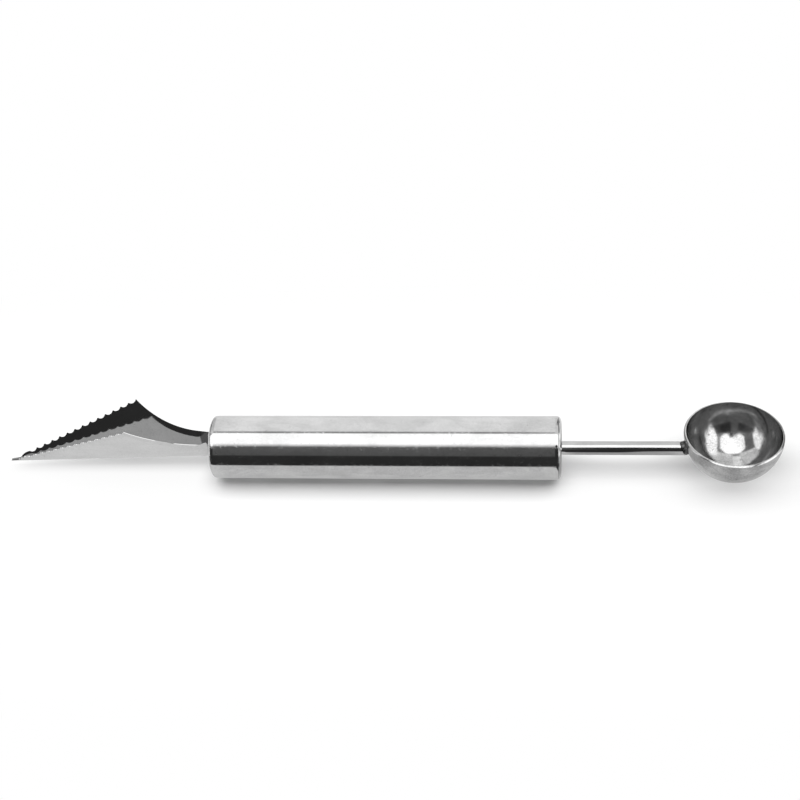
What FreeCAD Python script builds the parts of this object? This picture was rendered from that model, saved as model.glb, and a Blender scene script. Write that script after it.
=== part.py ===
import FreeCAD, Part
import math
import os

import Sketcher
from FreeCAD import Placement, Rotation, Vector

# Double-ended melon tool: a scoop on a rod, a hollow handle and a folded, serrated carving blade.
# X runs along the handle towards the scoop, Z is up out of the bowl, and the origin is the middle of the grip.
# Lengths are millimetres and angles are degrees.

SIZES = {
    # Handle: a drawn tube with a pressed cap welded into each end
    "handle_diameter": 18.0,
    "handle_length": 100.0,
    "handle_wall": 0.6,
    "cap_thickness": 0.9,
    "cap_edge_width": 2.0,
    "cap_edge_chords": 3,
    "cap_seam_step": 0.1,
    "skirt_length": 5.0,
    "skirt_wall": 0.8,
    "skirt_clearance": 0.05,
    # Beads that hold the rod and the blade on the inner faces of the caps
    "bead_leg": 0.9,
    # Rod: its visible length ends at the weld, and its tail stands inside the handle
    "rod_diameter": 3.9,
    "rod_length": 33.6,
    "rod_tail": 8.0,
    "rod_clearance": 0.05,
    # Bowl: a hemisphere whose rim stands above the handle's axis, drawn as a number of narrow zones
    "bowl_diameter": 27.4,
    "bowl_wall": 0.8,
    "bowl_rise": 5.65,
    "bowl_zones": 12,
    "rim_land": 0.4,
    "rim_bevel": 0.35,
    "weld_diameter": 4.4,
    "weld_length": 1.1,
    # Blade: measured along the fold from the tip, and up from the outside of the fold
    "blade_length": 61.9,
    "blade_droop": 2.2,
    "fold_drop": 3.25,
    "fold_half_angle": 27.0,
    "blade_sheet": 0.6,
    "bend_radius": 0.25,
    "blank_margin": 1.5,
    "tip_height": 0.15,
    "spike_reach": 2.8,
    "spike_height": 0.72,
    "tip_curve_radius": 4.0,
    "first_tooth_reach": 5.6,
    "first_tooth_height": 2.38,
    "peak_reach": 39.4,
    "peak_height": 15.3,
    "scallop_count": 14,
    "scallop_depth": 0.55,
    "tooth_land": 0.25,
    "neck_height": 6.35,
    "shoulder_length": 0.8,
    "tang_height": 5.3,
    "tang_length": 12.0,
    "slot_clearance": 0.1,
}

# Formulas that several pieces share
HANDLE_RADIUS = "sizes.handle_diameter / 2"
HANDLE_END = "sizes.handle_length / 2"
CAP_SEAT = "(sizes.handle_length / 2 - sizes.cap_thickness)"
TUBE_BORE = "(sizes.handle_diameter / 2 - sizes.handle_wall)"
ROD_RADIUS = "sizes.rod_diameter / 2"
BOWL_RADIUS = "sizes.bowl_diameter / 2"
# Lean of the bowl's wall where the rod's axis meets it, and the point where the rod stops at the weld
WALL_LEAN = "asin(2 * sizes.bowl_rise / sizes.bowl_diameter)"
ROD_END = "(sizes.handle_length / 2 + sizes.rod_length)"
BOWL_REACH = (f"{ROD_END} + sizes.weld_length / cos({WALL_LEAN})"
              f" + sizes.bowl_diameter / 2 * cos({WALL_LEAN})")
BEND_OUTSIDE = "(sizes.bend_radius + sizes.blade_sheet)"
TOOTH_RUN = "(sizes.peak_reach - sizes.first_tooth_reach)"
TOOTH_RISE = "(sizes.peak_height - sizes.first_tooth_height)"
TOOTH_LINE = f"sqrt({TOOTH_RUN} ^ 2 + {TOOTH_RISE} ^ 2)"
TOOTH_PITCH = f"({TOOTH_LINE} / sizes.scallop_count)"

doc = FreeCAD.newDocument("melon_tool")
sheet = doc.addObject("Spreadsheet::Sheet", "sizes")
for row, (alias, value) in enumerate(SIZES.items(), start=1):
    sheet.set(f"A{row}", alias)
    sheet.set(f"B{row}", str(value))
    sheet.setAlias(f"B{row}", alias)
doc.recompute()


def size(formula):
    """Present value of a formula in the sheet's sizes."""
    value = sheet.evalExpression(formula)
    return float(getattr(value, "Value", value))


def circle_radius(chord, depth):
    """Formula for the radius of a circle from a chord and the arc's depth below it."""
    return f"((({chord}) / 2) ^ 2 + ({depth}) ^ 2) / (2 * ({depth}))"


def new_body(label):
    body = doc.addObject("PartDesign::Body", label)
    body.Label = label
    return body


def new_sketch(body, name, plane):
    """Sketch of the given name on one of the body's own origin planes."""
    sketch = body.newObject("Sketcher::SketchObject", name)
    support = next(feature for feature in body.Origin.OriginFeatures if feature.Role == plane)
    sketch.AttachmentSupport = [(support, "")]
    sketch.MapMode = "FlatFace"
    return sketch


def drive(sketch, name, formula, *constraint):
    """Adds a named constraint whose value follows a formula."""
    index = sketch.addConstraint(Sketcher.Constraint(*constraint, size(formula)))
    sketch.renameConstraint(index, name)
    sketch.setExpression("Constraints." + name, formula)


def bowed_edge(start, end, radius, centre_on_left):
    """Arc from start to end, under a half circle, with its centre on one side of the way."""
    chord = end - start
    leftward = Vector(-chord.y, chord.x, 0).normalize()
    offset = math.sqrt(radius ** 2 - (chord.Length / 2) ** 2)
    centre = (start + end) * 0.5 + leftward * (offset if centre_on_left else -offset)
    first, last = (start, end) if centre_on_left else (end, start)
    from_angle = math.atan2(first.y - centre.y, first.x - centre.x)
    to_angle = math.atan2(last.y - centre.y, last.x - centre.x)
    if to_angle < from_angle:
        to_angle += 2 * math.pi
    return Part.ArcOfCircle(Part.Circle(centre, Vector(0, 0, 1), radius), from_angle, to_angle)


def locate(sketch, name, point, across, up):
    """Fixes a point of the sketch at two formulas, on an axis where a formula is 0."""
    for label, axis, kind, formula in (("across", -2, "DistanceX", across), ("up", -1, "DistanceY", up)):
        if formula == "0":
            sketch.addConstraint(Sketcher.Constraint("PointOnObject", *point, axis))
        else:
            drive(sketch, f"{name}_{label}", formula, kind, *point)


def outline(sketch, corners, bows=None):
    """Closed outline through corners given as formulas.

    bows turns the edge that leaves a corner into an arc: {corner: (radius, centre_on_left)}.
    """
    bows = bows or {}
    points = [Vector(size(across), size(up), 0) for across, up in corners]
    ends = []
    for corner, start in enumerate(points):
        end = points[(corner + 1) % len(points)]
        radius, centre_on_left = bows.get(corner, (None, True))
        edge = bowed_edge(start, end, size(radius), centre_on_left) if radius else Part.LineSegment(start, end)
        index = sketch.addGeometry(edge)
        ends.append(((index, 1), (index, 2)) if centre_on_left else ((index, 2), (index, 1)))
    for corner, (across, up) in enumerate(corners):
        sketch.addConstraint(Sketcher.Constraint("Coincident", *ends[corner - 1][1], *ends[corner][0]))
        locate(sketch, f"corner_{corner}", ends[corner][0], across, up)
    for corner, (radius, centre_on_left) in bows.items():
        drive(sketch, f"bow_{corner}", radius, "Radius", ends[corner][0][0])


def revolve(body, sketch, axis):
    turn = body.newObject("PartDesign::Revolution", body.Label + "_turn")
    turn.Profile = sketch
    turn.ReferenceAxis = (sketch, [axis])
    turn.Angle = 360


def pad(body, sketch, length):
    block = body.newObject("PartDesign::Pad", body.Label + "_pad")
    block.Profile = sketch
    block.setExpression("Length", length)


def cut_through(body, sketch):
    """Cuts the sketch through the whole body, to both sides of the sketch."""
    doc.recompute()
    before = body.Shape.Volume
    cut = body.newObject("PartDesign::Pocket", sketch.Label + "_cut")
    cut.Profile = sketch
    cut.Type = "ThroughAll"
    cut.SideType = "Symmetric"
    doc.recompute()
    if not body.Shape.Volume < before:
        raise RuntimeError(f"{sketch.Label} cuts nothing from {body.Label}")
    return cut


def place(piece, across="0", up="0", lean="0"):
    """Sets a piece's place along X and Z and its lean, nose up, from formulas."""
    piece.Placement = Placement(Vector(), Rotation(Vector(0, -1, 0), 1))
    piece.setExpression("Placement.Base.x", across)
    piece.setExpression("Placement.Base.z", up)
    piece.setExpression("Placement.Rotation.Angle", lean)


def make_handle_tube():
    body = new_body("handle_tube")
    profile = new_sketch(body, "tube_profile", "XZ_Plane")
    outline(profile, [
        (f"-{CAP_SEAT}", TUBE_BORE),
        (CAP_SEAT, TUBE_BORE),
        (CAP_SEAT, HANDLE_RADIUS),
        (f"-{CAP_SEAT}", HANDLE_RADIUS),
    ])
    revolve(body, profile, "H_Axis")
    return body


def make_cap(label, outward, bore):
    """Pressed cap with a domed edge on the tube's end and a skirt inside it; outward is "" or "-"."""
    body = new_body(label)
    profile = new_sketch(body, label + "_profile", "XZ_Plane")
    end = f"{outward}{HANDLE_END}"
    seat = f"{outward}{CAP_SEAT}"
    face_edge = f"{HANDLE_RADIUS} - sizes.cap_edge_width"
    skirt_end = f"{outward}({CAP_SEAT} - sizes.skirt_length)"
    skirt_outside = f"({TUBE_BORE} - sizes.skirt_clearance)"
    skirt_inside = f"{skirt_outside} - sizes.skirt_wall"
    # The domed edge is an arc that leaves the face level and ends at the seam, in equal chords
    dome = f"({circle_radius('2 * (sizes.cap_edge_width - sizes.cap_seam_step)', 'sizes.cap_thickness')})"
    full_turn = f"acos(1 - sizes.cap_thickness / {dome})"
    chords = round(size("sizes.cap_edge_chords"))
    turns = [f"{full_turn} * {chord} / sizes.cap_edge_chords" for chord in range(chords - 1, 0, -1)]
    outline(profile, [
        (seat, f"{HANDLE_RADIUS} - sizes.cap_seam_step"),
        *[(f"{outward}({HANDLE_END} - {dome} * (1 - cos({turn})))", f"{face_edge} + {dome} * sin({turn})")
          for turn in turns],
        (end, face_edge),
        (end, bore),
        (seat, bore),
        (seat, skirt_inside),
        (skirt_end, skirt_inside),
        (skirt_end, skirt_outside),
        (seat, skirt_outside),
    ])
    revolve(body, profile, "H_Axis")
    return body


def make_scoop_rod():
    """Round rod whose end leans with the bowl's wall."""
    body = new_body("scoop_rod")
    section = new_sketch(body, "rod_section", "YZ_Plane")
    tail = f"{CAP_SEAT} - sizes.rod_tail"
    section.setExpression("AttachmentOffset.Base.z", tail)
    circle = section.addGeometry(Part.Circle(Vector(), Vector(0, 0, 1), size(ROD_RADIUS)))
    section.addConstraint(Sketcher.Constraint("Coincident", circle, 3, -1, 1))
    drive(section, "rod_radius", ROD_RADIUS, "Radius", circle)
    blank_end = f"({ROD_END} + sizes.rod_diameter)"
    pad(body, section, f"{blank_end} - ({tail})")
    trim = new_sketch(body, "rod_trim", "XZ_Plane")
    shift = f"sizes.rod_diameter * tan({WALL_LEAN})"
    trim_end = f"{blank_end} + sizes.rod_diameter"
    outline(trim, [
        (f"{ROD_END} - {shift}", "sizes.rod_diameter"),
        (f"{ROD_END} + {shift}", "-sizes.rod_diameter"),
        (trim_end, "-sizes.rod_diameter"),
        (trim_end, "sizes.rod_diameter"),
    ])
    cut_through(body, trim)
    return body


def make_rod_weld():
    """Fillet bead round the rod, on the inner face of its cap."""
    body = new_body("rod_weld")
    profile = new_sketch(body, "rod_bead_profile", "XZ_Plane")
    outline(profile, [
        (CAP_SEAT, ROD_RADIUS),
        (CAP_SEAT, f"{ROD_RADIUS} + sizes.bead_leg"),
        (f"{CAP_SEAT} - sizes.bead_leg", ROD_RADIUS),
    ])
    revolve(body, profile, "H_Axis")
    return body


def meridian(radius, full_turn):
    """Corners of a bowl's profile, from its lowest point up through a turn in equal zones."""
    zones = round(size("sizes.bowl_zones"))
    turns = [f"({full_turn}) * {zone} / sizes.bowl_zones" for zone in range(1, zones + 1)]
    return [("0", f"-{radius}")] + [(f"{radius} * sin({turn})", f"-{radius} * cos({turn})") for turn in turns]


def make_scoop_bowl():
    """Pressed hemisphere, ground from outside to a narrow land at the rim."""
    body = new_body("scoop_bowl")
    place(body, BOWL_REACH, "sizes.bowl_rise")
    profile = new_sketch(body, "bowl_profile", "XZ_Plane")
    hollow = f"({BOWL_RADIUS} - sizes.bowl_wall)"
    outside = meridian(BOWL_RADIUS, f"acos(sizes.rim_bevel / ({BOWL_RADIUS}))")
    inside = meridian(hollow, "90")[:-1]
    rim = [(f"{hollow} + sizes.rim_land", "0"), (hollow, "0")]
    outline(profile, outside + rim + inside[::-1])
    revolve(body, profile, "V_Axis")
    return body


def make_bowl_weld():
    """Weld nugget between the rod's leaning end and the outside of the bowl."""
    nugget = doc.addObject("Part::Cylinder", "weld_nugget")
    nugget.setExpression("Radius", "sizes.weld_diameter / 2")
    nugget.setExpression("Height", f"sizes.weld_length + {BOWL_RADIUS} / 2")
    nugget.Placement = Placement(Vector(), Rotation(Vector(0, 1, 0), 45))
    nugget.setExpression("Placement.Base.x", ROD_END)
    nugget.setExpression("Placement.Rotation.Angle", f"90 - {WALL_LEAN} / 1 deg")
    ball = doc.addObject("Part::Sphere", "bowl_outside")
    ball.setExpression("Radius", BOWL_RADIUS)
    ball.setExpression("Placement.Base.x", BOWL_REACH)
    ball.setExpression("Placement.Base.z", "sizes.bowl_rise")
    weld = doc.addObject("Part::Cut", "bowl_weld")
    weld.Base = nugget
    weld.Tool = ball
    return weld


def folded_section(outside, inside, top, drop="0"):
    """Corners and bows of a V-shaped section, from the radii of its bend and its height over the fold."""
    lean = "sizes.fold_half_angle"
    level = f"({BEND_OUTSIDE} - ({drop}))"

    def wing(radius, sign):
        rise = f"({top} - {BEND_OUTSIDE} + ({radius}) * sin({lean}))"
        edge = (f"{sign}(({radius}) * cos({lean}) + {rise} * tan({lean}))", f"{top} - ({drop})")
        bend = (f"{sign}({radius}) * cos({lean})", f"{level} - ({radius}) * sin({lean})")
        return edge, bend

    outer_left, outer_right = wing(outside, "-"), wing(outside, "")
    inner_left, inner_right = wing(inside, "-"), wing(inside, "")
    corners = [*outer_left, *outer_right[::-1], *inner_right, *inner_left[::-1]]
    return corners, {1: (outside, True), 5: (inside, False)}


def make_carving_blade():
    """Sheet folded to a V, trimmed to its side view, with a row of scallops along both edges."""
    body = new_body("carving_blade")
    lean = "sizes.blade_droop"
    place(
        body,
        f"-{HANDLE_END} - sizes.blade_length * cos({lean})",
        f"-sizes.fold_drop - sizes.blade_length * sin({lean})",
        lean,
    )
    section = new_sketch(body, "blade_section", "YZ_Plane")
    blank_top = "(sizes.peak_height + sizes.blank_margin)"
    outline(section, *folded_section(BEND_OUTSIDE, "sizes.bend_radius", blank_top))
    blade_end = "(sizes.blade_length + sizes.tang_length)"
    pad(body, section, blade_end)

    trim = new_sketch(body, "blade_side_view", "XZ_Plane")
    shoulder = "(sizes.blade_length - sizes.shoulder_length)"
    rear_chord = f"2 * ({shoulder} - sizes.peak_reach)"
    rear_radius = circle_radius(rear_chord, "sizes.peak_height - sizes.neck_height")
    trim_top = f"{blank_top} + sizes.blank_margin"
    outline(trim, [
        ("0", "sizes.tip_height"),
        ("sizes.spike_reach", "sizes.spike_height"),
        ("sizes.first_tooth_reach", "sizes.first_tooth_height"),
        ("sizes.peak_reach", "sizes.peak_height"),
        (shoulder, "sizes.neck_height"),
        ("sizes.blade_length", "sizes.tang_height"),
        (blade_end, "sizes.tang_height"),
        (blade_end, trim_top),
        ("0", trim_top),
    ], {1: ("sizes.tip_curve_radius", False), 3: (rear_radius, True)})
    cut_through(body, trim)

    tooth = new_sketch(body, "scallop", "XZ_Plane")
    tooth.AttachmentOffset = Placement(Vector(), Rotation(Vector(0, 0, 1), 1))
    tooth.setExpression("AttachmentOffset.Base.x", "sizes.first_tooth_reach")
    tooth.setExpression("AttachmentOffset.Base.y", "sizes.first_tooth_height")
    tooth.setExpression("AttachmentOffset.Rotation.Angle", f"atan({TOOTH_RISE} / {TOOTH_RUN})")
    radius = circle_radius(f"{TOOTH_PITCH} - sizes.tooth_land", "sizes.scallop_depth")
    lift = f"{radius} - sizes.scallop_depth"
    centre = Vector(size(f"{TOOTH_PITCH} / 2"), size(lift), 0)
    circle = tooth.addGeometry(Part.Circle(centre, Vector(0, 0, 1), size(radius)))
    locate(tooth, "scallop_centre", (circle, 3), f"{TOOTH_PITCH} / 2", lift)
    drive(tooth, "scallop_radius", radius, "Radius", circle)
    scallop = cut_through(body, tooth)

    row = body.newObject("PartDesign::LinearPattern", "scallop_row")
    row.Originals = [scallop]
    row.Direction = (tooth, ["H_Axis"])
    row.setExpression("Length", f"{TOOTH_PITCH} * (sizes.scallop_count - 1)")
    row.setExpression("Occurrences", "sizes.scallop_count")
    body.Tip = row
    return body


def make_blade_end_cap():
    """Cap with a V-shaped slot that the blade's tang passes through."""
    body = make_cap("blade_end_cap", "-", "0")
    slot = new_sketch(body, "blade_slot", "YZ_Plane")
    outside = f"{BEND_OUTSIDE} + sizes.slot_clearance"
    inside = "sizes.bend_radius - sizes.slot_clearance"
    top = "(sizes.tang_height + sizes.slot_clearance)"
    outline(slot, *folded_section(outside, inside, top, "sizes.fold_drop"))
    cut_through(body, slot)
    return body


def make_blade_weld(blade):
    """Bead along the outside of the tang, on the inner face of its cap."""
    blank = new_body("blade_bead_blank")
    section = new_sketch(blank, "blade_bead_section", "YZ_Plane")
    section.setExpression("AttachmentOffset.Base.z", f"-{CAP_SEAT}")
    outside = f"{BEND_OUTSIDE} + sizes.bead_leg"
    middle_of_sheet = "sizes.bend_radius + sizes.blade_sheet / 2"
    top = "(sizes.tang_height - sizes.bead_leg)"
    outline(section, *folded_section(outside, middle_of_sheet, top, "sizes.fold_drop"))
    pad(blank, section, "sizes.bead_leg")
    weld = doc.addObject("Part::Cut", "blade_weld")
    weld.Base = blank
    weld.Tool = blade
    return weld


def check(pieces):
    """Stops the build if any step failed or any piece is not a sound solid."""
    doc.recompute()
    for step in doc.Objects:
        if "Invalid" in step.State or "Error" in step.State:
            raise RuntimeError(f"{step.Label} failed: {step.State}")
    for piece in pieces:
        shape = piece.Shape
        if shape.isNull() or not shape.isValid() or len(shape.Solids) != 1:
            raise RuntimeError(f"{piece.Label} is not one sound solid")
        print(f"{piece.Label}: {shape.Volume:.2f} cubic mm")


def write(pieces):
    os.makedirs("parts", exist_ok=True)
    for piece in pieces:
        piece.Shape.exportStep(f"parts/{piece.Label}.step")


carving_blade = make_carving_blade()
sub_parts = [
    make_handle_tube(),
    make_cap("scoop_end_cap", "", f"{ROD_RADIUS} + sizes.rod_clearance"),
    make_blade_end_cap(),
    make_scoop_rod(),
    make_rod_weld(),
    make_scoop_bowl(),
    make_bowl_weld(),
    carving_blade,
    make_blade_weld(carving_blade),
]
check(sub_parts)
write(sub_parts)
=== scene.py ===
import math

import bmesh
import bpy
from mathutils import Matrix, Vector, noise


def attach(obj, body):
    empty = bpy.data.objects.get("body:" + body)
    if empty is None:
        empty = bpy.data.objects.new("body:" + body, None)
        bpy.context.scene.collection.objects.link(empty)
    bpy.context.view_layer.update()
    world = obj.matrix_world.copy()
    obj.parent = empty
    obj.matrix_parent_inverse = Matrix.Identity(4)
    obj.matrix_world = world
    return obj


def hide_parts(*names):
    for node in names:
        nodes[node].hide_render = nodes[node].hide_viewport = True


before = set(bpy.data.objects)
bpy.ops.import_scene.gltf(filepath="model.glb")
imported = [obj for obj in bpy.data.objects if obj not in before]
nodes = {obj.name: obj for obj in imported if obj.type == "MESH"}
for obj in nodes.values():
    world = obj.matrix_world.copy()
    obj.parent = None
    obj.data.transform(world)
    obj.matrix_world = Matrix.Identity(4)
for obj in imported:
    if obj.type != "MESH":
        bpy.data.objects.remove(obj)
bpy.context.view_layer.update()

# Double-ended melon tool in polished steel, in the frame of its solids.
# X runs along the handle towards the scoop and Z is up; shapes are written in millimetres.
MM = 0.001

# Handle
HANDLE_RADIUS = 9.0
HANDLE_BORE = 8.4
HANDLE_END = 50.0
HANDLE_SEGMENTS = 256
# Ends of the tube, eased down to the seams, with support rings where the easing starts
SHOULDER_LENGTH = 0.9
SHOULDER_DROP = 0.06
SHOULDER_STEPS = 8
SHOULDER_SUPPORTS = (8.0, 0.4)
SEAM_ROUND = 0.12
SEAM_ROUND_START = 75.0
SEAM_ROUND_STEPS = 4
# Caps; the edge is the part of an ellipse from this many degrees up to the face
CAP_SEAT = 49.1
CAP_SEAM_RADIUS = 8.9
CAP_FACE_RADIUS = 7.0
CAP_FACE_SUPPORT = 0.3
CAP_FACE_RING = 5.0
CAP_EDGE_START = 14.0
CAP_EDGE_STEPS = 14
CAP_SEGMENTS = 192
SEAM_GROOVE = ((0.0, 0.26), (0.02, 0.12))
SKIRT_END = 44.1
SKIRT_OUTSIDE = 8.35
SKIRT_INSIDE = 7.55
ROD_HOLE = 2.0
# Bowl; the bevel of its rim is partly straight and partly curved
BOWL_X = 97.288
BOWL_RIM_Z = 5.65
BOWL_OUTSIDE = 13.7
BOWL_INSIDE = 13.1
BOWL_STEPS = 56
BOWL_SEGMENTS = 192
BOWL_SHARP = 32.0
RIM_LAND = 0.05
RIM_BEVEL = 0.3
RIM_STRAIGHT = 0.3
RIM_STEPS = 6
# Unevenness of the pressed sheet: share of the radius, pattern size and depth where it is full
BOWL_DENT = 0.0016
BOWL_DENT_SCALE = 0.16
BOWL_DENT_FULL = 3.0
# Weld between rod and bowl, from the rod's end towards the bowl
WELD_START_X = 83.6
WELD_LEAN = math.asin(BOWL_RIM_Z / BOWL_OUTSIDE)
WELD_PROFILE = ((0.0, 0.0), (0.02, 1.2), (0.05, 1.75), (0.16, 2.0), (0.36, 2.13), (0.6, 2.06),
                (0.82, 2.1), (1.05, 2.14), (1.25, 2.08), (1.45, 1.8), (1.5, 0.0))
WELD_PROFILE_STEPS = 4
WELD_SEGMENTS = 96
WELD_LUMP = 0.11
WELD_LUMP_SCALE = 1.1
WELD_GRAIN = 0.25
WELD_GRAIN_SCALE = 3.1
# Blade, measured along the fold from the tip and up from the outside of the fold
BLADE_LENGTH = 61.9
BLADE_DROOP = math.radians(2.2)
BLADE_SHARP = 20.0
FOLD_DROP = 3.25
FOLD_HALF_ANGLE = math.radians(27.0)
SHEET = 0.6
BEND_OUTSIDE = 0.85
BEND_ROWS = 8
BEND_WING_SHARE = 0.6
WING_ROWS = 6
GRIND_WIDTH = 1.2
GRIND_DEPTH = 0.4
GRIND_WING_SHARE = 0.3
# The photographed blade is turned a little about its fold; its raised wing is cut to stay in
# the box of the solids
BLADE_TURN = math.radians(4.0)
RAISED_WING_CUT = 0.966
# Side view of the upper edge
TIP = (0.0, 0.15)
TIP_THICKNESS = 0.25
TIP_WING = 0.35
TIP_WING_GROWTH = 0.12
SPIKE = (2.8, 0.72)
SPIKE_STEPS = 6
TIP_CURVE_RADIUS = 4.0
TIP_CURVE_STEPS = 8
FIRST_TOOTH = (5.6, 2.38)
PEAK = (39.4, 15.3)
SCALLOPS = 14
SCALLOP_DEPTH = 0.55
SCALLOP_STEPS = 14
TOOTH_LAND = 0.25
REAR_STEPS = 28
# The neck closes towards the handle, and the tang goes through the cap
NECK = (60.8, 6.35)
NECK_STEPS = 3
NECK_CLOSES_FROM = 57.5
NECK_HALF_ANGLE = math.radians(19.0)
TANG = (61.5, 5.0)
TANG_STEPS = 4
TANG_END = (73.9, 5.3)
# Ground under the handle
FLOOR_Z = -9.0

# Angles over which an edge is shaded as sharp, unless a piece has its own; 180 is never
SHARP = 35.0
NEVER_SHARP = 180.0


def arc(centre, radius, start, end, steps):
    """Points on an arc in the plane of a profile, between two angles in degrees."""
    points = []
    for step in range(steps + 1):
        turn = math.radians(start + (end - start) * step / steps)
        points.append((centre[0] + radius * math.cos(turn), centre[1] + radius * math.sin(turn)))
    return points


def lathe(name, profile, segments, place, sharp_degrees=SHARP):
    """Closed turned piece from a closed profile of (along, radius).

    place maps (along, radius, turn) to a point.
    """
    mesh = bmesh.new()
    rings = []
    for along, radius in profile:
        count = segments if radius > 1e-6 else 1
        rings.append([mesh.verts.new(place(along, radius, 2 * math.pi * k / segments))
                      for k in range(count)])
    for number, ring in enumerate(rings):
        following = rings[(number + 1) % len(rings)]
        if len(ring) == 1 and len(following) == 1:
            continue
        for k in range(segments):
            corners = []
            for vert in (ring[k % len(ring)], ring[(k + 1) % len(ring)],
                         following[(k + 1) % len(following)], following[k % len(following)]):
                if vert not in corners:
                    corners.append(vert)
            mesh.faces.new(corners)
    bmesh.ops.recalc_face_normals(mesh, faces=mesh.faces)
    return finish_mesh(name, mesh, sharp_degrees)


def finish_mesh(name, mesh, sharp_degrees):
    """Smooth object from a bmesh, with sharp edges over an angle."""
    data = bpy.data.meshes.new(name)
    mesh.to_mesh(data)
    mesh.free()
    data.shade_smooth()
    data.set_sharp_from_angle(angle=math.radians(sharp_degrees))
    piece = bpy.data.objects.new(name, data)
    bpy.context.scene.collection.objects.link(piece)
    return piece


def along_x(along, radius, turn):
    """Place of a lathe's point for pieces on the handle's axis."""
    return Vector((along, radius * math.cos(turn), radius * math.sin(turn))) * MM


def make_handle_shell():
    """Drawn tube whose ends are eased down to the caps' seams."""
    right = []
    for step in range(SHOULDER_STEPS + 1):
        part = step / SHOULDER_STEPS
        right.append((CAP_SEAT - SEAM_ROUND - SHOULDER_LENGTH * (1 - part),
                      HANDLE_RADIUS - SHOULDER_DROP * part ** 2))
    edge = right[-1]
    right += arc((edge[0], edge[1] - SEAM_ROUND), SEAM_ROUND, SEAM_ROUND_START, 0.0,
                 SEAM_ROUND_STEPS)
    right.append((CAP_SEAT, HANDLE_BORE))
    half = [(right[0][0] - gap, HANDLE_RADIUS) for gap in SHOULDER_SUPPORTS] + right
    left = [(-along, radius) for along, radius in reversed(half)]
    return lathe("handle_shell", left + half, HANDLE_SEGMENTS, along_x)


def cap_profile(side, bore):
    """Pressed cap from its seam over the domed edge to the face, and back along its skirt."""
    rise = HANDLE_END - CAP_SEAT
    width = CAP_SEAM_RADIUS - CAP_FACE_RADIUS
    start = math.radians(CAP_EDGE_START)
    deep, wide = rise / (1 - math.sin(start)), width / math.cos(start)
    edge = [(HANDLE_END - deep * (1 - up), CAP_FACE_RADIUS + wide * out)
            for out, up in arc((0.0, 0.0), 1.0, CAP_EDGE_START, 90.0, CAP_EDGE_STEPS)]
    seam = edge[0]
    groove = [(seam[0] + out, seam[1] - down) for out, down in SEAM_GROOVE]
    face = [(HANDLE_END, CAP_FACE_RADIUS - CAP_FACE_SUPPORT), (HANDLE_END, CAP_FACE_RING)]
    hole = [(HANDLE_END, bore), (CAP_SEAT, bore)]
    hidden = [(CAP_SEAT, SKIRT_INSIDE), (SKIRT_END, SKIRT_INSIDE), (SKIRT_END, SKIRT_OUTSIDE),
              (CAP_SEAT, SKIRT_OUTSIDE)]
    return [(side * along, radius) for along, radius in groove + edge[1:] + face + hole + hidden]


def make_scoop_end_cap():
    """Cap with the rod's hole."""
    return lathe("scoop_end_cap_pressed", cap_profile(1, ROD_HOLE), CAP_SEGMENTS, along_x)


def make_blade_end_cap():
    """Cap with a plain face, which the blade passes through."""
    return lathe("blade_end_cap_pressed", cap_profile(-1, 0.0), CAP_SEGMENTS, along_x)


def make_bowl():
    """Pressed hemisphere, ground at the rim, with the faint unevenness of a polished sheet."""
    limit = math.degrees(math.acos(RIM_BEVEL / BOWL_OUTSIDE))

    def quarter(radius, degrees):
        turn = math.radians(degrees)
        return -radius * math.cos(turn), radius * math.sin(turn)

    outside = [quarter(BOWL_OUTSIDE, limit * k / BOWL_STEPS) for k in range(BOWL_STEPS + 1)]
    inside = [quarter(BOWL_INSIDE, 90.0 * k / BOWL_STEPS) for k in range(BOWL_STEPS, -1, -1)]
    land = BOWL_INSIDE + RIM_LAND
    ground = BOWL_OUTSIDE - land
    rim = []
    for k in range(1, RIM_STEPS + 1):
        part = 1 - k / RIM_STEPS
        drop = RIM_STRAIGHT * part + (1 - RIM_STRAIGHT) * part ** 2
        rim.append((-RIM_BEVEL * drop, land + ground * part))
    rim.append((0.0, BOWL_INSIDE))

    def place(along, radius, turn):
        point = Vector((radius * math.cos(turn), radius * math.sin(turn), along))
        depth = max(0.0, min(1.0, -along / BOWL_DENT_FULL))
        if point.length > 1e-6:
            dent = 0.5 + 0.5 * noise.noise(point * BOWL_DENT_SCALE)
            point *= 1.0 - BOWL_DENT * depth * dent
        return (point + Vector((BOWL_X, 0.0, BOWL_RIM_Z))) * MM

    return lathe("scoop_bowl_pressed", outside + rim + inside[1:], BOWL_SEGMENTS, place,
                 BOWL_SHARP)


def make_bowl_weld():
    """Uneven bead between the rod's end and the outside of the bowl."""
    axis = Vector((math.cos(WELD_LEAN), 0.0, math.sin(WELD_LEAN)))
    upright = Vector((-math.sin(WELD_LEAN), 0.0, math.cos(WELD_LEAN)))
    sideways = Vector((0.0, 1.0, 0.0))

    def place(along, radius, turn):
        point = axis * along + (upright * math.sin(turn) + sideways * math.cos(turn)) * radius
        lump = (0.5 + 0.5 * noise.noise(point * WELD_LUMP_SCALE)
                + WELD_GRAIN * noise.noise(point * WELD_GRAIN_SCALE))
        point -= (point - axis * along) * WELD_LUMP * max(0.0, lump)
        return (point + Vector((WELD_START_X, 0.0, 0.0))) * MM

    dense = []
    for start, end in zip(WELD_PROFILE, WELD_PROFILE[1:]):
        dense += between(start, end, WELD_PROFILE_STEPS)
    return lathe("bowl_weld_bead", dense + [WELD_PROFILE[-1]], WELD_SEGMENTS, place, NEVER_SHARP)


def between(start, end, steps):
    """Points from start towards end, without the end."""
    return [(start[0] + (end[0] - start[0]) * k / steps, start[1] + (end[1] - start[1]) * k / steps)
            for k in range(steps)]


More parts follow.
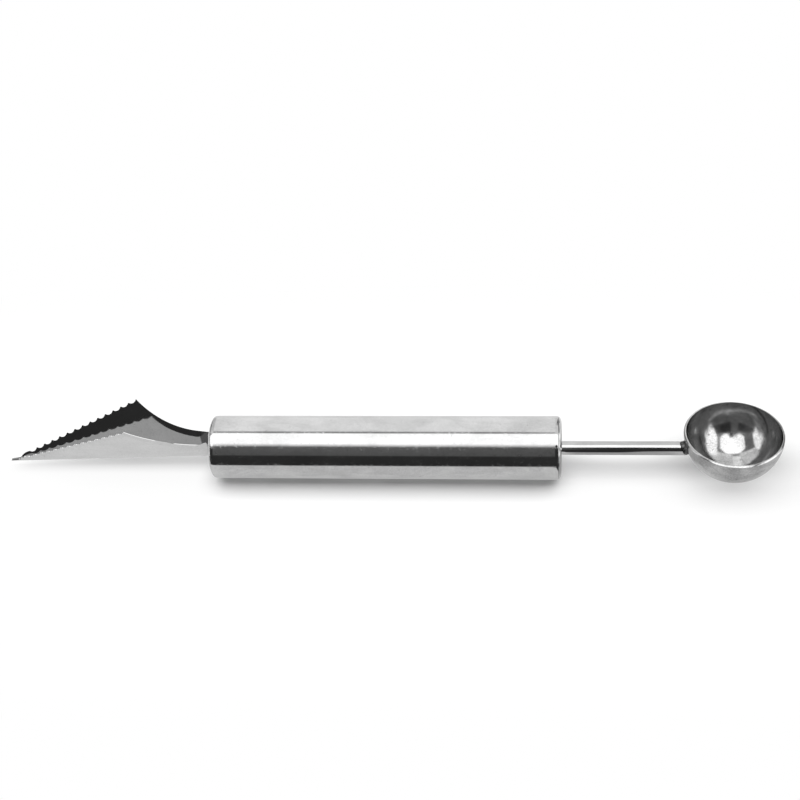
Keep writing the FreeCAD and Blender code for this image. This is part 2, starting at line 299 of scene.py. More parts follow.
def bow(start, end, radius, side, steps):
    """Points of an arc from start towards end, without the end; side 1 bulges up, -1 hangs down."""
    along, up = end[0] - start[0], end[1] - start[1]
    chord = math.hypot(along, up)
    lift = side * math.sqrt(radius ** 2 - (chord / 2) ** 2)
    centre = ((start[0] + end[0]) / 2 + up / chord * lift,
              (start[1] + end[1]) / 2 - along / chord * lift)
    first = math.atan2(start[1] - centre[1], start[0] - centre[0])
    sweep = -side * 2 * math.asin(chord / 2 / radius)
    return [(centre[0] + radius * math.cos(first + sweep * k / steps),
             centre[1] + radius * math.sin(first + sweep * k / steps)) for k in range(steps)]


def blade_edge():
    """Side view of the upper edge, from the tip over the scallops and the peak to the tang."""
    run, rise = PEAK[0] - FIRST_TOOTH[0], PEAK[1] - FIRST_TOOTH[1]
    line = math.hypot(run, rise)
    pitch = line / SCALLOPS
    chord = pitch - TOOTH_LAND
    radius = ((chord / 2) ** 2 + SCALLOP_DEPTH ** 2) / (2 * SCALLOP_DEPTH)

    def on_line(distance):
        return FIRST_TOOTH[0] + run * distance / line, FIRST_TOOTH[1] + rise * distance / line

    points = between(TIP, SPIKE, SPIKE_STEPS)
    points += bow(SPIKE, FIRST_TOOTH, TIP_CURVE_RADIUS, 1, TIP_CURVE_STEPS)
    for tooth in range(SCALLOPS):
        start = on_line(tooth * pitch)
        low = on_line(tooth * pitch + TOOTH_LAND / 2)
        high = on_line((tooth + 1) * pitch - TOOTH_LAND / 2)
        points += [start] + bow(low, high, radius, -1, SCALLOP_STEPS) + [high]
    drop = PEAK[1] - NECK[1]
    rear = ((NECK[0] - PEAK[0]) ** 2 + drop ** 2) / (2 * drop)
    points += bow(PEAK, NECK, rear, -1, REAR_STEPS)
    points += between(NECK, TANG, NECK_STEPS) + between(TANG, TANG_END, TANG_STEPS)
    return points + [TANG_END]


def make_blade():
    """Flat blank stamped with its scallops and folded to a V; its edges are square to the sheet."""
    middle = BEND_OUTSIDE - SHEET / 2
    flat_bend = middle * (math.pi / 2 - FOLD_HALF_ANGLE)
    top_of_bend = BEND_OUTSIDE - middle * math.sin(FOLD_HALF_ANGLE)
    corner_lift = SHEET / 2 * math.sin(FOLD_HALF_ANGLE)
    start_x = -HANDLE_END - BLADE_LENGTH * math.cos(BLADE_DROOP)
    start_z = -FOLD_DROP - BLADE_LENGTH * math.sin(BLADE_DROOP)

    def half_angle(along):
        """Half the angle of the V, smaller towards the handle."""
        part = (along - NECK_CLOSES_FROM) / (BLADE_LENGTH - NECK_CLOSES_FROM)
        part = max(0.0, min(1.0, part))
        change = NECK_HALF_ANGLE - FOLD_HALF_ANGLE
        return FOLD_HALF_ANGLE + change * part * part * (3 - 2 * part)

    def wing_point(reach, depth, angle):
        """Point of a section: reach is from the fold along the sheet, depth from its outside."""
        radius = BEND_OUTSIDE - depth
        bend = middle * (math.pi / 2 - angle)
        part = min(abs(reach), bend) / middle
        across, up = radius * math.sin(part), BEND_OUTSIDE - radius * math.cos(part)
        straight = max(0.0, abs(reach) - bend)
        across = math.copysign(across + straight * math.sin(angle), reach)
        up += straight * math.cos(angle)
        return (across * math.cos(BLADE_TURN) + up * math.sin(BLADE_TURN),
                up * math.cos(BLADE_TURN) - across * math.sin(BLADE_TURN))

    def section(along, height):
        """Outside of the sheet from wing to wing, and back along its inside."""
        wing = flat_bend + (height - corner_lift - top_of_bend) / math.cos(FOLD_HALF_ANGLE)
        wing = max(wing, TIP_WING + TIP_WING_GROWTH * min(along, SPIKE[0]))
        near_fold = min(flat_bend, BEND_WING_SHARE * wing)
        grind = min(GRIND_WIDTH, GRIND_WING_SHARE * wing)
        plain = wing - grind - near_fold
        half = [near_fold * k / BEND_ROWS for k in range(1, BEND_ROWS)]
        half += [near_fold + plain * k / WING_ROWS for k in range(WING_ROWS + 1)] + [wing]
        reaches = [-RAISED_WING_CUT * reach for reach in reversed(half)] + [0.0] + half
        thickness = TIP_THICKNESS + (SHEET - TIP_THICKNESS) * min(1.0, along / SPIKE[0])
        ground = GRIND_DEPTH * grind / GRIND_WIDTH
        depths = [ground] + [0.0] * (len(reaches) - 2) + [ground]
        angle = half_angle(along)
        return ([wing_point(reach, depth, angle) for reach, depth in zip(reaches, depths)]
                + [wing_point(reach, thickness, angle) for reach in reversed(reaches)])

    mesh = bmesh.new()
    rings = []
    for along, height in blade_edge():
        ring = []
        for across, up in section(along, height):
            ring.append(mesh.verts.new(Vector((
                start_x + along * math.cos(BLADE_DROOP) - up * math.sin(BLADE_DROOP), across,
                start_z + along * math.sin(BLADE_DROOP) + up * math.cos(BLADE_DROOP))) * MM))
        rings.append(ring)
    count = len(rings[0])
    for ring, following in zip(rings, rings[1:]):
        for k in range(count):
            mesh.faces.new((ring[k], ring[(k + 1) % count],
                            following[(k + 1) % count], following[k]))
    for ring in (rings[0], rings[-1]):
        for k in range(count // 2 - 1):
            mesh.faces.new((ring[k], ring[k + 1], ring[count - 2 - k], ring[count - 1 - k]))
    bmesh.ops.recalc_face_normals(mesh, faces=mesh.faces)
    return finish_mesh("carving_blade_folded", mesh, BLADE_SHARP)


# Materials


class Nodes:
    """Short names for adding and linking shader nodes."""

    def __init__(self, tree):
        self.tree = tree
        tree.nodes.clear()

    def add(self, kind, inputs=None, **settings):
        node = self.tree.nodes.new(kind)
        for name, value in settings.items():
            setattr(node, name, value)
        for name, value in (inputs or {}).items():
            self.feed(node.inputs[name], value)
        return node

    def feed(self, socket, value):
        if isinstance(value, bpy.types.NodeSocket):
            self.tree.links.new(value, socket)
        else:
            socket.default_value = value

    def math(self, operation, *values):
        node = self.add("ShaderNodeMath", operation=operation)
        for number, value in enumerate(values):
            self.feed(node.inputs[number], value)
        return node.outputs[0]

    def both(self, first, second):
        return self.math("MULTIPLY", first, second)

    def either(self, first, second):
        return self.math("MAXIMUM", first, second)

    def length(self, first, second):
        squares = self.math("ADD", self.both(first, first), self.both(second, second))
        return self.math("SQRT", squares)

    def step(self, value, low, high, to_low=0.0, to_high=1.0):
        """Smooth change from to_low to to_high as value goes from low to high."""
        node = self.add("ShaderNodeMapRange", interpolation_type="SMOOTHSTEP")
        self.feed(node.inputs["Value"], value)
        for name, number in (("From Min", low), ("From Max", high),
                             ("To Min", to_low), ("To Max", to_high)):
            self.feed(node.inputs[name], number)
        return node.outputs["Result"]

    def window(self, value, low, high, soft):
        """1 between low and high, with edges that are soft to each side."""
        return self.both(self.step(value, low - soft, low + soft),
                         self.step(value, high - soft, high + soft, 1.0, 0.0))

    def ramp(self, value, stops):
        node = self.add("ShaderNodeValToRGB", {"Fac": value})
        elements = node.color_ramp.elements
        while len(elements) < len(stops):
            elements.new(0.5)
        for element, (position, grey) in zip(elements, stops):
            element.position = position
            element.color = (grey, grey, grey, 1.0)
        return node.outputs["Color"]

    def mix(self, factor, first, second):
        """Blend of two numbers or sockets by a factor."""
        node = self.add("ShaderNodeMix", data_type="FLOAT")
        for number, value in zip((0, 2, 3), (factor, first, second)):
            self.feed(node.inputs[number], value)
        return node.outputs[0]

    def texture(self, place, scale, detail, **inputs):
        """Grey noise; the scale is in cycles per metre."""
        named = {"Vector": place, "Scale": scale, "Detail": detail, **inputs}
        return self.add("ShaderNodeTexNoise", named).outputs["Fac"]


def new_material(name):
    material = bpy.data.materials.new(name)
    material.use_nodes = True
    return material, Nodes(material.node_tree)


# Textures of the polish, in cycles per metre
CLOUD_SCALE = 140.0
WIPE_SCALE = 70.0
WIPE_ROTATION = (0.3, 0.5, 0.6)
WIPE_STRETCH = (1.0, 2.6, 2.6)
HAIRLINE_SCALE = 5200.0
HAIRLINE_STRETCH = (0.035, 1.0, 1.0)
HAIRLINE_DEPTH = 0.25e-6
PIT_SCALE = 900.0
FROST_SCALE = 2600.0
HAZE_SCALE = 1300.0
SKIN_SCALE = 330.0


def steel(name, base, rough, scratch_angle=0.0, mottle=0.05, wave=3.0e-6, smudge=0.06, grain=0.03,
          fleck=0.0):
    """Polished sheet steel: cloudy tone, wiped smudges, hairline scratches and a wavy skin."""
    material, n = new_material(name)
    place = n.add("ShaderNodeTexCoord").outputs["Object"]
    slanted = n.add("ShaderNodeMapping", {"Vector": place, "Rotation": WIPE_ROTATION,
                                          "Scale": WIPE_STRETCH}).outputs[0]
    drawn = n.add("ShaderNodeMapping", {"Vector": place,
                                        "Rotation": (0.0, scratch_angle, scratch_angle),
                                        "Scale": HAIRLINE_STRETCH}).outputs[0]
    cloud = n.texture(place, CLOUD_SCALE, 5.0, Roughness=0.6)
    wiped = n.texture(slanted, WIPE_SCALE, 4.0, Roughness=0.55, Distortion=0.8)
    hairlines = n.texture(drawn, HAIRLINE_SCALE, 2.0)

    tone = n.step(cloud, 0.3, 0.7, -mottle, mottle)
    wipe = n.step(wiped, 0.35, 0.68, -smudge, smudge)
    pits = n.step(n.texture(place, PIT_SCALE, 2.0), 0.66, 0.76, 0.0, -4.0 * grain)
    frost = n.step(n.texture(place, FROST_SCALE, 1.0), 0.3, 0.7, -grain, grain)
    lift = n.math("ADD", n.math("ADD", tone, wipe), n.math("ADD", pits, frost))
    grey = n.both(n.math("ADD", lift, 1.0), base)
    colour = n.add("ShaderNodeCombineColor", {"Red": grey, "Green": grey, "Blue": grey})

    shine = n.step(wiped, 0.3, 0.75, rough * 0.75, rough * 1.5)
    scratch = n.step(hairlines, 0.6, 0.78, 0.0, rough * 0.6)
    haze = n.step(n.texture(place, HAZE_SCALE, 2.0), 0.52, 0.72, 0.0, fleck)
    dull = n.math("ADD", n.math("ADD", shine, scratch), haze)

    waves = n.add("ShaderNodeBump", {"Height": n.texture(place, SKIN_SCALE, 2.0),
                                     "Strength": 1.0, "Distance": wave})
    cuts = n.add("ShaderNodeBump", {"Height": hairlines, "Strength": 1.0,
                                    "Distance": HAIRLINE_DEPTH, "Normal": waves.outputs[0]})
    shader = n.add("ShaderNodeBsdfPrincipled", {"Base Color": colour.outputs[0], "Metallic": 1.0,
                                                "Roughness": dull, "Normal": cuts.outputs[0]})
    n.add("ShaderNodeOutputMaterial", {"Surface": shader.outputs[0]})
    return material


# Weld
GRAIN_SCALE = 1500.0
GRAIN_DEPTH = 0.00012
HEAT_SCALE = 420.0
WELD_TONES = ((0.12, 0.035), (0.24, 0.09), (0.36, 0.26), (0.5, 0.5))


def weld_metal():
    """Dark, unpolished weld with scale and small bright grains."""
    material, n = new_material("weld_scale")
    place = n.add("ShaderNodeTexCoord").outputs["Object"]
    grain = n.texture(place, GRAIN_SCALE, 5.0, Roughness=0.65)
    heat = n.texture(place, HEAT_SCALE, 3.0)
    colour = n.ramp(n.both(grain, heat), WELD_TONES)
    dull = n.step(heat, 0.3, 0.7, 0.5, 0.28)
    bump = n.add("ShaderNodeBump", {"Height": grain, "Strength": 1.0, "Distance": GRAIN_DEPTH})
    shader = n.add("ShaderNodeBsdfPrincipled", {"Base Color": colour, "Metallic": 1.0,
                                                "Roughness": dull, "Normal": bump.outputs[0]})
    n.add("ShaderNodeOutputMaterial", {"Surface": shader.outputs[0]})
    return material


def stand_for(piece, node, material):
    """A new piece takes a node's place, slot and motion."""
    piece.data.materials.append(material)
    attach(piece, "root")
    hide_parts(node)


handle_steel = steel("handle_polish", 0.68, 0.075, smudge=0.07, fleck=0.16)
cap_steel = steel("cap_polish", 0.68, 0.08)
rod_steel = steel("rod_polish", 0.68, 0.08)
bowl_steel = steel("bowl_polish", 0.66, 0.12, scratch_angle=0.7, mottle=0.19, wave=8.0e-6,
                   smudge=0.1, grain=0.1)
blade_steel = steel("blade_polish", 0.68, 0.055, scratch_angle=0.35, mottle=0.03, wave=1.5e-6,
                    smudge=0.03)
weld = weld_metal()

stand_for(make_handle_shell(), "handle_tube", handle_steel)
stand_for(make_scoop_end_cap(), "scoop_end_cap", cap_steel)
stand_for(make_blade_end_cap(), "blade_end_cap", cap_steel)
stand_for(make_bowl(), "scoop_bowl", bowl_steel)
stand_for(make_bowl_weld(), "bowl_weld", weld)
stand_for(make_blade(), "carving_blade", blade_steel)
for node, material in (("scoop_rod", rod_steel), ("rod_weld", weld), ("blade_weld", weld)):
    nodes[node].material_slots[0].material = material

# Studio as the metal shows it, where 1 is white

# x is the sideways part of a direction, from -1 on the blade's side to 1 on the scoop's side.
# over is the angle over the tool in degrees: 0 at the front, 90 overhead, 180 behind.
# Three numbers are a window (low, high, softness), two are a step (from, to), and four are a step
# with its two results.
BOX_LIGHT = 1.55
AMBIENT = 0.2

# Middle of the room, which the handle shows: tones by angle
ROOM_TONES = ((-60, 0.6), (-34, 0.03), (8, 0.03), (12, 0.10), (42, 0.13), (55, BOX_LIGHT),
              (92.5, BOX_LIGHT), (93.5, 0.36), (100.5, 0.36), (101.5, 1.0), (180, 1.0))
# Gap between the box and the wall, paler beside the handle's view of it
GAP_OVER = (93.0, 101.0, 0.5)
GAP_X = (-0.28, 0.02, 0.06)
GAP_LIGHT_ASIDE = 0.8
# The box hangs lower at both sides of the handle's view of it
LOW_BOX_OVER = (43.0, 91.0, 3.5)
HANDLE_VIEW_X = (-0.26, 0.03, 0.02)
# Darker room in front of the blade and of the scoop
GLOOM_LIGHT = 0.028
BLADE_GLOOM_OVER = (-40.0, 34.0, 4.0)
BLADE_GLOOM_X = (-0.25, -0.29)
SCOOP_GLOOM_OVER = (0.0, 40.0, 4.0)
SCOOP_GLOOM_X = (0.01, 0.03)
# Wall behind: whiter in the handle's view, and dark where the rim of the bowl looks
WALL_OVER = (101.0, 103.0)
WALL_X = (-0.26, 0.01, 0.03)
WALL_LIGHT = 0.96
WALL_LIGHT_ASIDE = (-0.3, 0.0, 0.62, 0.75)
RIM_DARK_X = (0.11, 0.20, 0.01)
RIM_DARK_OVER = (131.0, 134.0)
RIM_DARK_LIGHT = 0.11


def middle_of_room(n, x, over):
    """Dark room in front, bright box overhead and pale wall behind."""
    front = n.ramp(n.math("MULTIPLY_ADD", over, 1.0 / 360.0, 0.5),
                   [(0.5 + angle / 360.0, grey) for angle, grey in ROOM_TONES])
    gap = n.window(over, *GAP_OVER)
    front = n.mix(n.both(gap, n.window(x, *GAP_X)), n.mix(gap, front, GAP_LIGHT_ASIDE), front)
    low_box = n.window(over, *LOW_BOX_OVER)
    in_view = n.both(low_box, n.window(x, *HANDLE_VIEW_X))
    front = n.mix(n.math("SUBTRACT", low_box, in_view), front, BOX_LIGHT)
    gloom = n.either(n.both(n.window(over, *BLADE_GLOOM_OVER), n.step(x, *BLADE_GLOOM_X)),
                     n.both(n.window(over, *SCOOP_GLOOM_OVER), n.step(x, *SCOOP_GLOOM_X)))
    strip = n.mix(gloom, front, GLOOM_LIGHT)
    wall = n.mix(n.window(x, *WALL_X), n.step(x, *WALL_LIGHT_ASIDE), WALL_LIGHT)
    rim_dark = n.both(n.window(x, *RIM_DARK_X), n.step(over, *RIM_DARK_OVER))
    wall = n.mix(rim_dark, wall, RIM_DARK_LIGHT)
    return n.both(strip, n.mix(n.step(over, *WALL_OVER), 1.0, wall))


# Box over the tool, in halves of its size: its corners are cut, more so at the lower edge
BOX_OVER = 70.0
BOX_HALF_HEIGHT = 25.0
BOX_SHIFT = 0.025
BOX_HALF_WIDTH = 0.475
BOX_EDGE = (1.06, 0.96)
BOX_CORNER = (1.56, 1.46)
BOX_LOWER_CUT = (74.0, 66.0, 0.0, 0.3)
BOX_FROM = (40.0, 44.0)
BOX_TO = (92.5, 94.0)
# The wall is wider than the box up to its own edge
WIDE_WALL_EDGE = (1.75, 1.55)
WIDE_WALL_TO = (129.0, 133.0)
# Rest of the room
DIM_ROOM = (30.0, 48.0, 0.05, 0.2)


def box_and_wall(n, x, over):
    """The room's middle within the box and the wall, and a dim room at both sides."""
    height = n.math("DIVIDE", n.math("ABSOLUTE", n.math("SUBTRACT", over, BOX_OVER)),
                    BOX_HALF_HEIGHT)
    width = n.math("DIVIDE", n.math("ABSOLUTE", n.math("ADD", x, BOX_SHIFT)), BOX_HALF_WIDTH)
    corner = n.math("SUBTRACT", n.math("ADD", height, width), n.step(over, *BOX_LOWER_CUT))
    narrow = n.step(width, *BOX_EDGE)
    box = n.both(narrow, n.step(corner, *BOX_CORNER))
    wall = n.mix(n.step(over, *WIDE_WALL_TO), n.step(width, *WIDE_WALL_EDGE), narrow)
    across = n.mix(n.step(over, *BOX_TO), n.mix(n.step(over, *BOX_FROM), narrow, box), wall)
    return n.mix(across, n.step(over, *DIM_ROOM), middle_of_room(n, x, over))


# Box at each end of the tool, placed by y / |x| and z / |x|, each with a lower part
SIDE_LIGHT = 1.4
SIDE_FLOOR = (-0.5, -0.4)
BLADE_SIDE_X = (-0.77, -0.81)
BLADE_SIDE = (-0.55, 0.28, 0.06)
BLADE_SIDE_LOW = (-1.0, -0.5, 0.05)
BLADE_SIDE_LOW_TOP = (0.22, 0.14)
SCOOP_SIDE_X = (0.54, 0.58)
SCOOP_SIDE = (-0.95, 0.42, 0.08)
SCOOP_SIDE_LOW = (0.3, 1.4, 0.1)
SCOOP_SIDE_LOW_TOP = (0.25, 0.15)


def side_boxes(n, x, y, z, reach):
    """Where the two side boxes are."""
    aside = n.math("DIVIDE", y, reach)
    up = n.math("DIVIDE", z, reach)
    blade_low = n.both(n.window(aside, *BLADE_SIDE_LOW), n.step(up, *BLADE_SIDE_LOW_TOP))
    blade_side = n.either(n.window(aside, *BLADE_SIDE), blade_low)
    scoop_low = n.both(n.window(aside, *SCOOP_SIDE_LOW), n.step(up, *SCOOP_SIDE_LOW_TOP))
    scoop_side = n.either(n.window(aside, *SCOOP_SIDE), scoop_low)
    sides = n.math("ADD", n.both(blade_side, n.step(x, *BLADE_SIDE_X)),
                   n.both(scoop_side, n.step(x, *SCOOP_SIDE_X)))
    return n.both(sides, n.step(up, *SIDE_FLOOR))


# Ring of bands round the tool's own line, which the handle shows when seen from its ends
RING_REACH = (0.945, 0.992, 0.004)
RING_FRONT = (38.0, 52.0, 0.15, SIDE_LIGHT)
RING_WALL = (-0.5, 0.5, 0.55, 0.85)
RING_WALL_OVER = (92.0, 95.0)
RING_LOW_OVER = (16.0, 8.0)


def end_ring(n, x, over):
    """Bands of the ring."""
    ring = n.mix(n.step(over, *RING_WALL_OVER), n.step(over, *RING_FRONT), n.step(x, *RING_WALL))
    return n.mix(n.step(over, *RING_LOW_OVER), ring, SIDE_LIGHT)


# Room in a second reflection: dim, with an arch
AGAIN_DEPTH = (1.4, 1.6)
AGAIN_LIGHT = 0.17
ARCH_LIGHT = 0.7
ARCH_SHIFT = 0.1
ARCH_HALF_WIDTH = 0.52
ARCH_OVER = 60.0
ARCH_HEIGHT = 47.0
ARCH_BAND = (0.92, 1.12, 0.04)
ARCH_FROM = (62.0, 75.0)
# Spot of the wall beside the arch
SPOT_LIGHT = 0.61
SPOT_OVER = (108.0, 120.0, 3.0)
SPOT_X = (-0.42, -0.24, 0.03)
# Sheen, tops and edges of the side boxes, each on the scoop's and on the blade's side
SHEEN_LIGHT = 0.4
SCOOP_SHEEN_X = (0.62, 0.80, 0.05)
SCOOP_SHEEN_OVER = (54.0, 88.0, 5.0)
BLADE_SHEEN_X = (-0.70, -0.56, 0.04)
BLADE_SHEEN_OVER = (60.0, 78.0, 4.0)
TOPS_LIGHT = 1.6
TOPS_OVER = (40.0, 75.0, 4.0)
BLADE_TOP_X = (-0.78, -0.82)
SCOOP_TOP_X = (0.83, 0.87)
EDGE_LIGHT = 1.9
BLADE_EDGE_X = (-0.54, -0.62)
BLADE_EDGE_OVER = (43.4, 41.0)
SCOOP_EDGE_X = (0.40, 0.48)
SCOOP_EDGE_OVER = (41.0, 39.0)


def room_again(n, x, over):
    """What the metal shows of the room in a second reflection."""
    arch_x = n.math("DIVIDE", n.math("ADD", x, ARCH_SHIFT), ARCH_HALF_WIDTH)
    arch_y = n.math("DIVIDE", n.math("SUBTRACT", over, ARCH_OVER), ARCH_HEIGHT)
    arch = n.both(n.window(n.length(arch_x, arch_y), *ARCH_BAND), n.step(over, *ARCH_FROM))
    dim = n.mix(arch, AGAIN_LIGHT, ARCH_LIGHT)
    dim = n.mix(n.both(n.window(over, *SPOT_OVER), n.window(x, *SPOT_X)), dim, SPOT_LIGHT)
    sheen = n.either(n.both(n.window(x, *SCOOP_SHEEN_X), n.window(over, *SCOOP_SHEEN_OVER)),
                     n.both(n.window(x, *BLADE_SHEEN_X), n.window(over, *BLADE_SHEEN_OVER)))
    dim = n.mix(sheen, dim, SHEEN_LIGHT)
    tops = n.either(n.step(x, *BLADE_TOP_X), n.step(x, *SCOOP_TOP_X))
    dim = n.mix(n.both(tops, n.window(over, *TOPS_OVER)), dim, TOPS_LIGHT)
    edge = n.either(n.both(n.step(x, *BLADE_EDGE_X), n.step(over, *BLADE_EDGE_OVER)),
                    n.both(n.step(x, *SCOOP_EDGE_X), n.step(over, *SCOOP_EDGE_OVER)))
    return n.mix(edge, dim, EDGE_LIGHT)


# Room in a third reflection: lighter overhead
DEEP_DEPTH = (2.4, 2.6)
DEEP_LIGHT = 0.23
OVERHEAD_LIGHT = 0.5
OVERHEAD_OVER = (62.0, 118.0, 8.0)
OVERHEAD_REACH = (0.45, 0.3)


def make_world():
    """White to the camera, dim to matt surfaces, and the studio above to polished ones."""
    world = bpy.data.worlds.new("studio")
    bpy.context.scene.world = world
    world.use_nodes = True
    n = Nodes(world.node_tree)
    path = n.add("ShaderNodeLightPath")
    generated = n.add("ShaderNodeTexCoord").outputs["Generated"]
    x, y, z = n.add("ShaderNodeSeparateXYZ", {"Vector": generated}).outputs
    over = n.both(n.math("ARCTAN2", z, n.both(y, -1.0)), 180.0 / math.pi)
    reach = n.either(n.math("ABSOLUTE", x), 0.001)

    lit = n.mix(side_boxes(n, x, y, z, reach), box_and_wall(n, x, over), SIDE_LIGHT)
    lit = n.mix(n.window(reach, *RING_REACH), lit, end_ring(n, x, over))
    overhead = n.both(n.window(over, *OVERHEAD_OVER), n.step(reach, *OVERHEAD_REACH))
    deep = n.mix(overhead, DEEP_LIGHT, OVERHEAD_LIGHT)
    depth = path.outputs["Glossy Depth"]
    dim = n.mix(n.step(depth, *DEEP_DEPTH), room_again(n, x, over), deep)
    shown = n.mix(n.step(depth, *AGAIN_DEPTH), lit, dim)
    seen = n.mix(path.outputs["Is Glossy Ray"], AMBIENT, shown)
    seen = n.mix(path.outputs["Is Camera Ray"], seen, 1.0)
    background = n.add("ShaderNodeBackground", {"Color": seen, "Strength": 1.0})
    n.add("ShaderNodeOutputWorld", {"Surface": background.outputs[0]})


# Floor in metres: the shadow stays near the tool, and in front of the blade, the rod and the bowl
# white is painted over it as painted light
FLOOR_HALF = 3.0
PAPER = 0.9
TOOL_HALF_LENGTH = 0.112
SHADOW_FADE = (0.025, 0.09)
# Painted light over the shadow: white mixed in front of the blade, and in front of the rod and the
# bowl
BLADE_PAINTED_LIGHT_X = (-0.046, -0.056, 0.0, 0.93)
BLADE_PAINTED_LIGHT_Y = (0.0065, -0.0025)
SCOOP_PAINTED_LIGHT_X = (0.046, 0.056)
SCOOP_PAINTED_LIGHT = (0.078, 0.09, 0.66, 0.48)
SCOOP_PAINTED_LIGHT_Y = (0.005, -0.005)
# Painted reflection: dark painted beyond a line in front of the paper as the metal shows it, from
# the handle to the rod and on to the bowl
PAINTED_FRONT_DARK = 0.03
FRONT_SOFT = 0.0015
FRONT_EDGE = (0.0495, 0.0515, -0.026, -0.0140)
FRONT_EDGE_BOWL_X = (0.066, 0.081)
FRONT_EDGE_BOWL = -0.04
# Painted shade of the paper under the blade, the handle, the rod and the bowl, as the metal shows
# it, deepest just under the handle
BLADE_SHADE = 0.77
HANDLE_SHADE = 0.66
HANDLE_SHADE_FROM = (-0.056, -0.044)
HANDLE_SHADE_TO = (0.05, 0.055)
ROD_SHADE = 0.42
BOWL_SHADE = (0.0, 0.011, 0.42, 0.57)
BOWL_MIDDLE_X = 0.0973
BOWL_SHADE_FROM = (0.080, 0.085)
PAINTED_SHADE_UNDER_HANDLE = 0.8
PAINTED_SHADE_UNDER_HANDLE_X = (-0.052, 0.052, 0.004)
PAINTED_SHADE_UNDER_HANDLE_Y = (-0.007, 0.012, 0.004)
# Painted light: white paper behind the tool, and two painted bright fields off its ends, as the
# metal shows them
BACK_Y = (0.015, 0.03)
BACK_LIGHT = (0.07, 0.09, 0.86, 0.6)
ENDS_LIGHT = 1.4
ENDS_X = (0.14, 0.18)
ENDS_SLOPE = (0.17, 0.65, 0.08)


def floor_to_camera(n, x, y):
    """Lit pale paper that keeps the soft shadow near the tool and fades to white further off; white
    is painted over the shadow in front of the blade, the rod and the bowl.
    """
    beyond = n.either(n.math("SUBTRACT", n.math("ABSOLUTE", x), TOOL_HALF_LENGTH), 0.0)
    # Painted light: white over the shadow in front of the blade and in front of the rod and the
    # bowl
    blade_end = n.both(n.step(x, *BLADE_PAINTED_LIGHT_X), n.step(y, *BLADE_PAINTED_LIGHT_Y))
    scoop_end = n.both(n.step(x, *SCOOP_PAINTED_LIGHT_X, 0.0, n.step(x, *SCOOP_PAINTED_LIGHT)),
                       n.step(y, *SCOOP_PAINTED_LIGHT_Y))
    backdrop_and_painted_light = n.either(n.step(n.length(beyond, y), *SHADOW_FADE), n.math("ADD", blade_end, scoop_end))
    paper = n.add("ShaderNodeBsdfDiffuse", {"Color": (PAPER, PAPER, PAPER, 1.0)})
    white = n.add("ShaderNodeEmission", {"Color": (1.0, 1.0, 1.0, 1.0), "Strength": 1.0})
    return n.add("ShaderNodeMixShader", {0: backdrop_and_painted_light, 1: paper.outputs[0], 2: white.outputs[0]})


def floor_to_metal(n, x, y):
    """Paper painted in emission: painted shade near the tool, painted white behind it, and a
    painted dark reflection beyond a line in front.
    """
    # Painted dark reflection in front of this line
    edge = n.mix(n.step(x, *FRONT_EDGE_BOWL_X), n.step(x, *FRONT_EDGE), FRONT_EDGE_BOWL)
    front = n.step(n.math("SUBTRACT", y, edge), -FRONT_SOFT, FRONT_SOFT)
    # Painted shade by where the paper lies under the tool, deepest just under the handle
    bowl = n.step(n.math("ABSOLUTE", n.math("SUBTRACT", x, BOWL_MIDDLE_X)), *BOWL_SHADE)
    scoop = n.mix(n.step(x, *BOWL_SHADE_FROM), ROD_SHADE, bowl)
    handle = n.step(x, *HANDLE_SHADE_TO, HANDLE_SHADE, scoop)
    shade = n.mix(n.step(x, *HANDLE_SHADE_FROM), BLADE_SHADE, handle)
    under = n.both(n.window(y, *PAINTED_SHADE_UNDER_HANDLE_Y), n.window(x, *PAINTED_SHADE_UNDER_HANDLE_X))
    shade = n.both(shade, n.mix(under, 1.0, PAINTED_SHADE_UNDER_HANDLE))
    # Painted white behind the tool and painted bright fields off its ends
    near = n.mix(n.step(y, *BACK_Y), shade, n.step(x, *BACK_LIGHT))
    reach = n.math("ABSOLUTE", x)
    slope = n.math("DIVIDE", n.math("ABSOLUTE", y), reach)
    ends = n.both(n.step(reach, *ENDS_X), n.window(slope, *ENDS_SLOPE))
    painted_reflection = n.mix(n.either(front, ends), PAINTED_FRONT_DARK, n.mix(ends, near, ENDS_LIGHT))
    return n.add("ShaderNodeEmission", {"Color": painted_reflection, "Strength": 1.0})


def make_floor():
    """Pale sweep under the tool: lit paper to the camera, with painted light over parts of its
    shadow, and paper painted with light and shade to the metal.
    """
    material, n = new_material("floor_paper_painted_light")
    material.cycles.emission_sampling = "NONE"
    position = n.add("ShaderNodeNewGeometry").outputs["Position"]
    x, y, _ = n.add("ShaderNodeSeparateXYZ", {"Vector": position}).outputs
    glossy = n.add("ShaderNodeLightPath").outputs["Is Glossy Ray"]
    surface = n.add("ShaderNodeMixShader", {0: glossy, 1: floor_to_camera(n, x, y).outputs[0],
                                            2: floor_to_metal(n, x, y).outputs[0]})
    n.add("ShaderNodeOutputMaterial", {"Surface": surface.outputs[0]})
    mesh = bpy.data.meshes.new("floor")
    corners = ((-1, -1), (1, -1), (1, 1), (-1, 1))
    mesh.from_pydata([(FLOOR_HALF * across, FLOOR_HALF * back, FLOOR_Z * MM)
                      for across, back in corners], [], [(0, 1, 2, 3)])
    mesh.materials.append(material)
    floor = bpy.data.objects.new("floor", mesh)
    bpy.context.scene.collection.objects.link(floor)


# Camera, from a fit of the tool's outline in an 800 x 800 frame, and the card beside it
CAMERA_SWING = math.radians(-7.98)
CAMERA_HEIGHT = math.radians(39.9)
CAMERA_ROLL = math.radians(-5.14)
CAMERA_PLACE = (46.8, -295.2, 266.9)
FOCAL_PIXELS = 1402.39
FRAME_PIXELS = 800.0
SENSOR = 36.0
CLIP_START = 0.01
CARD_BLACK = 0.03
CARD_RADIUS = 0.042
CARD_SEGMENTS = 48
CARD_OFFSET = (0.055, 0.032, 0.0)


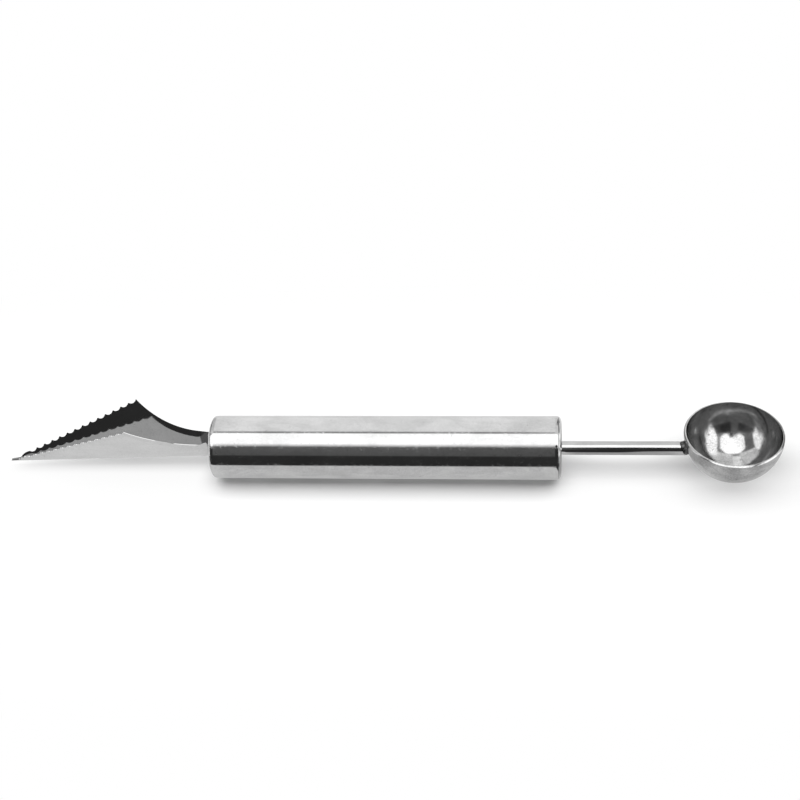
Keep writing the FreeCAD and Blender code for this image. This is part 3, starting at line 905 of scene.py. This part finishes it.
def make_camera_card(place):
    """Dark disc where the camera stands, which only polished metal shows."""
    material, n = new_material("camera_black")
    black = n.add("ShaderNodeBsdfDiffuse", {"Color": (CARD_BLACK, CARD_BLACK, CARD_BLACK, 1.0)})
    n.add("ShaderNodeOutputMaterial", {"Surface": black.outputs[0]})
    mesh = bmesh.new()
    bmesh.ops.create_circle(mesh, cap_ends=True, segments=CARD_SEGMENTS, radius=CARD_RADIUS,
                            matrix=place)
    card = finish_mesh("camera_card", mesh, NEVER_SHARP)
    card.data.materials.append(material)
    card.visible_camera = card.visible_diffuse = card.visible_shadow = False
    card.visible_transmission = card.visible_volume_scatter = False


def make_camera():
    """The photograph's view."""
    sine, cosine = math.sin(CAMERA_HEIGHT), math.cos(CAMERA_HEIGHT)
    about_z = Matrix.Rotation(CAMERA_SWING, 3, "Z")
    tilt = Matrix(((1, 0, 0), (0, -sine, -cosine), (0, cosine, -sine)))
    turn = Matrix.Rotation(CAMERA_ROLL, 3, "Z")
    rows = turn @ tilt @ about_z
    axes = Matrix((rows[0], -rows[1], -rows[2])).transposed()
    data = bpy.data.cameras.new("camera")
    data.sensor_width = SENSOR
    data.lens = SENSOR * FOCAL_PIXELS / FRAME_PIXELS
    data.clip_start = CLIP_START
    camera = bpy.data.objects.new("camera", data)
    camera.matrix_world = Matrix.Translation(Vector(CAMERA_PLACE) * MM) @ axes.to_4x4()
    bpy.context.scene.collection.objects.link(camera)
    bpy.context.scene.camera = camera
    make_camera_card(camera.matrix_world @ Matrix.Translation(CARD_OFFSET))


# Lamp in metres and watts
LAMP_SIZE = (2.0, 0.54)
LAMP_POWER = 7.6
LAMP_PLACE = (0.0, -0.03, 0.5)


def make_lamp():
    """Large soft lamp over the tool for the floor and its shadow."""
    lamp = bpy.data.lights.new("overhead", "AREA")
    lamp.shape = "RECTANGLE"
    lamp.size, lamp.size_y = LAMP_SIZE
    lamp.energy = LAMP_POWER
    holder = bpy.data.objects.new("overhead", lamp)
    holder.location = LAMP_PLACE
    holder.visible_glossy = False
    bpy.context.scene.collection.objects.link(holder)


make_world()
make_floor()
make_lamp()
make_camera()
bpy.context.scene.view_settings.view_transform = "Standard"
